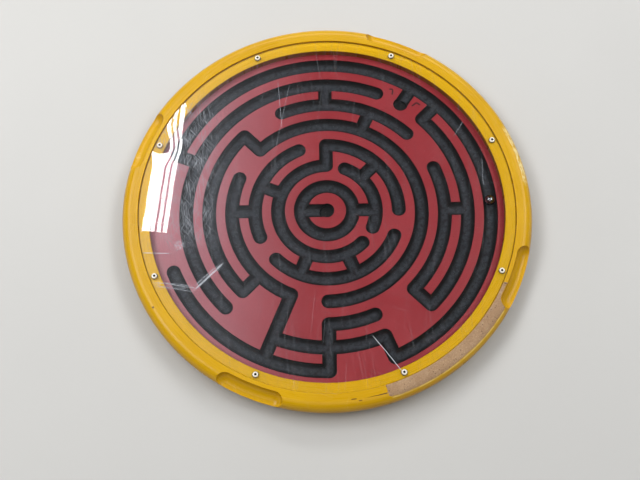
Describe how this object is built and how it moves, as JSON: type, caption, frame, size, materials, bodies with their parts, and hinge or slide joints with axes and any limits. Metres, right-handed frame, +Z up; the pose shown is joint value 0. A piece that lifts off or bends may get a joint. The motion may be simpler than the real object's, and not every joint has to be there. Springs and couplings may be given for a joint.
{
  "type": "tilt maze game",
  "caption": "Round hand-held tilt maze: a yellow-skinned rim with finger scoops, a routed red board, a clear screwed cover and a steel ball.",
  "frame": {"origin": "on the surface that the feet stand on, under the middle of the tray", "axes": "+Z up out of the clear cover; +X to the right and +Y away as the tray lies with a finger scoop just right of straight ahead"},
  "size_m": [0.6, 0.6, 0.0399],
  "materials": {
    "red_board": "matt red facing over a dark routed core",
    "bare_fibreboard": "bare machined fibreboard",
    "yellow_skin": "glossy film wrapped over the rim",
    "clear_acrylic": "clear acrylic, scratched",
    "polished_steel": "polished bearing steel",
    "zinc_steel": "bright zinc plated",
    "black_rubber": "moulded rubber"
  },
  "bodies": {
    "tray": {"maze_board": "red_board", "rim_core": "bare_fibreboard", "rim_skin": "yellow_skin", "clear_cover": "clear_acrylic", "cover_washer_1": "black_rubber", "cover_washer_2": "black_rubber", "cover_washer_3": "black_rubber", "cover_washer_4": "black_rubber", "cover_washer_5": "black_rubber", "cover_washer_6": "black_rubber", "cover_washer_7": "black_rubber", "cover_washer_8": "black_rubber", "cover_screw_1": "zinc_steel", "cover_screw_2": "zinc_steel", "cover_screw_3": "zinc_steel", "cover_screw_4": "zinc_steel", "cover_screw_5": "zinc_steel", "cover_screw_6": "zinc_steel", "cover_screw_7": "zinc_steel", "cover_screw_8": "zinc_steel", "board_screw_1": "zinc_steel", "board_screw_2": "zinc_steel", "board_screw_3": "zinc_steel", "board_screw_4": "zinc_steel", "board_screw_5": "zinc_steel", "board_screw_6": "zinc_steel", "board_screw_7": "zinc_steel", "board_screw_8": "zinc_steel", "foot_1": "black_rubber", "foot_2": "black_rubber", "foot_3": "black_rubber", "foot_4": "black_rubber", "foot_screw_1": "zinc_steel", "foot_screw_2": "zinc_steel", "foot_screw_3": "zinc_steel", "foot_screw_4": "zinc_steel"},
    "ball": {"steel_ball": "polished_steel"}
  },
  "joints": [
    {"name": "ball_roll", "type": "hinge", "parent": "tray", "child": "ball", "pos_m": [0, 0, 0], "axis": [0, 0, 1], "range_deg": [-70.5, 154.5]}
  ]
}
